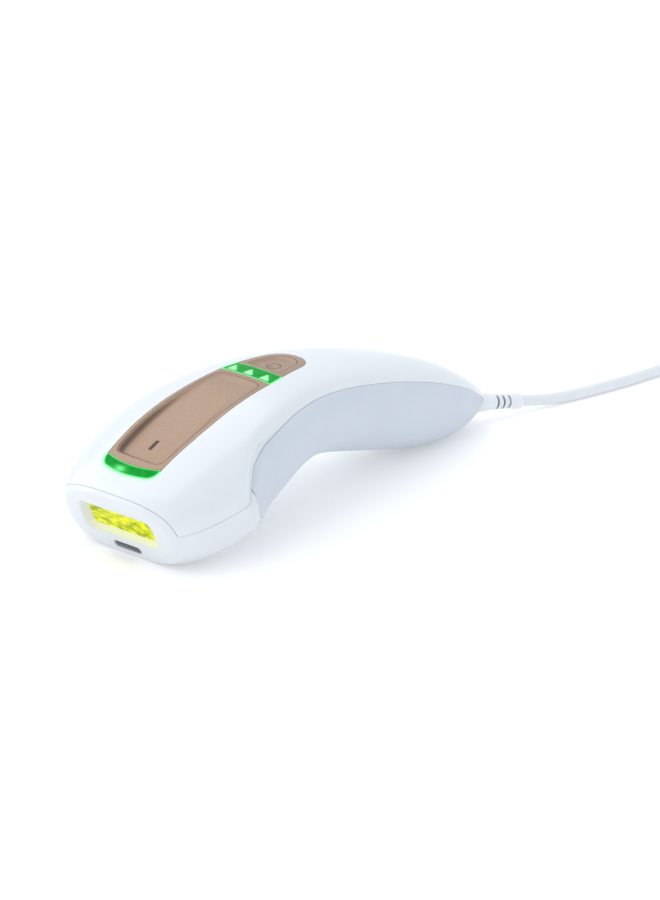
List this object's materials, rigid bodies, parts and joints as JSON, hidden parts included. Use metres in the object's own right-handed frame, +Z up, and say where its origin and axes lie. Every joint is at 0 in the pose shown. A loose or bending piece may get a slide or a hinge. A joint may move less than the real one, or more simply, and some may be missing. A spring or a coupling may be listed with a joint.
{
  "type": "ipl hair remover",
  "caption": "Corded light-based hair remover with an arched hand piece, a slanted treatment window, a long bronze flash button with green indicator lenses, a coiled cord and a plug-in supply.",
  "frame": {"origin": "centre of the hand piece's footprint on the table, without the cord and what is on it", "axes": "+Z up, -Y the way the treatment window faces, +Y along the hand piece towards the cord, X across the width"},
  "size_m": [0.0839, 0.4755, 0.0494],
  "materials": {
    "gloss_white": "gloss, moulded",
    "satin_white": "satin, moulded",
    "bronze": "bronze metallic lacquer",
    "green_light": "translucent green, lit from behind",
    "pale_light": "translucent pale green, lit from behind",
    "filter_glass": "yellow-green long-pass filter",
    "grey_plastic": "moulded",
    "sensor_dark": "gloss",
    "clear_glass": "clear quartz tube",
    "steel": "plated",
    "ceramic": "unglazed",
    "mirror_metal": "polished",
    "aluminium": "extruded",
    "black_plastic": "moulded",
    "tray_plastic": "moulded",
    "circuit_board": "solder mask",
    "capacitor_sleeve": "shrink sleeve",
    "transformer_tape": "taped winding and ferrite core",
    "led": "potted",
    "soft_white": "soft moulded",
    "pin_metal": "nickel plated"
  },
  "bodies": {
    "hand_piece": {"upper_shell": "gloss_white", "head_base": "gloss_white", "grip_shell": "satin_white", "panel_frame": "bronze", "ready_lens": "green_light", "level_lens": "green_light", "level_guides": "pale_light", "window_filter": "filter_glass", "window_frame": "grey_plastic", "skin_sensor": "sensor_dark", "flash_lamp": "clear_glass", "lamp_terminals": "steel", "lamp_holders": "ceramic", "reflector": "mirror_metal", "heat_sink": "aluminium", "fan_frame": "black_plastic", "chassis": "tray_plastic", "main_board": "circuit_board", "flash_capacitor": "capacitor_sleeve", "transformer": "transformer_tape", "panel_board": "circuit_board", "indicator_leds": "led", "flash_switch": "black_plastic", "power_switch": "black_plastic", "case_screws": "steel", "strain_relief": "soft_white", "cord_lead": "soft_white", "cord_coil": "soft_white", "cord_tie": "black_plastic", "cord_tail": "soft_white", "adapter_case": "satin_white", "adapter_cover": "satin_white", "adapter_pins": "pin_metal"},
    "flash_key": {"flash_button": "bronze", "flash_plunger": "tray_plastic"},
    "power_key": {"power_button": "bronze", "power_plunger": "tray_plastic"},
    "rotor": {"fan_rotor": "black_plastic"}
  },
  "joints": [
    {"name": "flash_press", "type": "slide", "parent": "hand_piece", "child": "flash_key", "axis": [0, 0.1908, -0.9816], "range_m": [0, 0.0006], "stiffness_N_per_m": 800},
    {"name": "power_press", "type": "slide", "parent": "hand_piece", "child": "power_key", "axis": [0, 0.1908, -0.9816], "range_m": [0, 0.0005], "stiffness_N_per_m": 800},
    {"name": "fan_spin", "type": "hinge", "parent": "hand_piece", "child": "rotor", "pos_m": [0, -0.031, 0.0235], "axis": [0, 0, 1], "continuous": true}
  ]
}
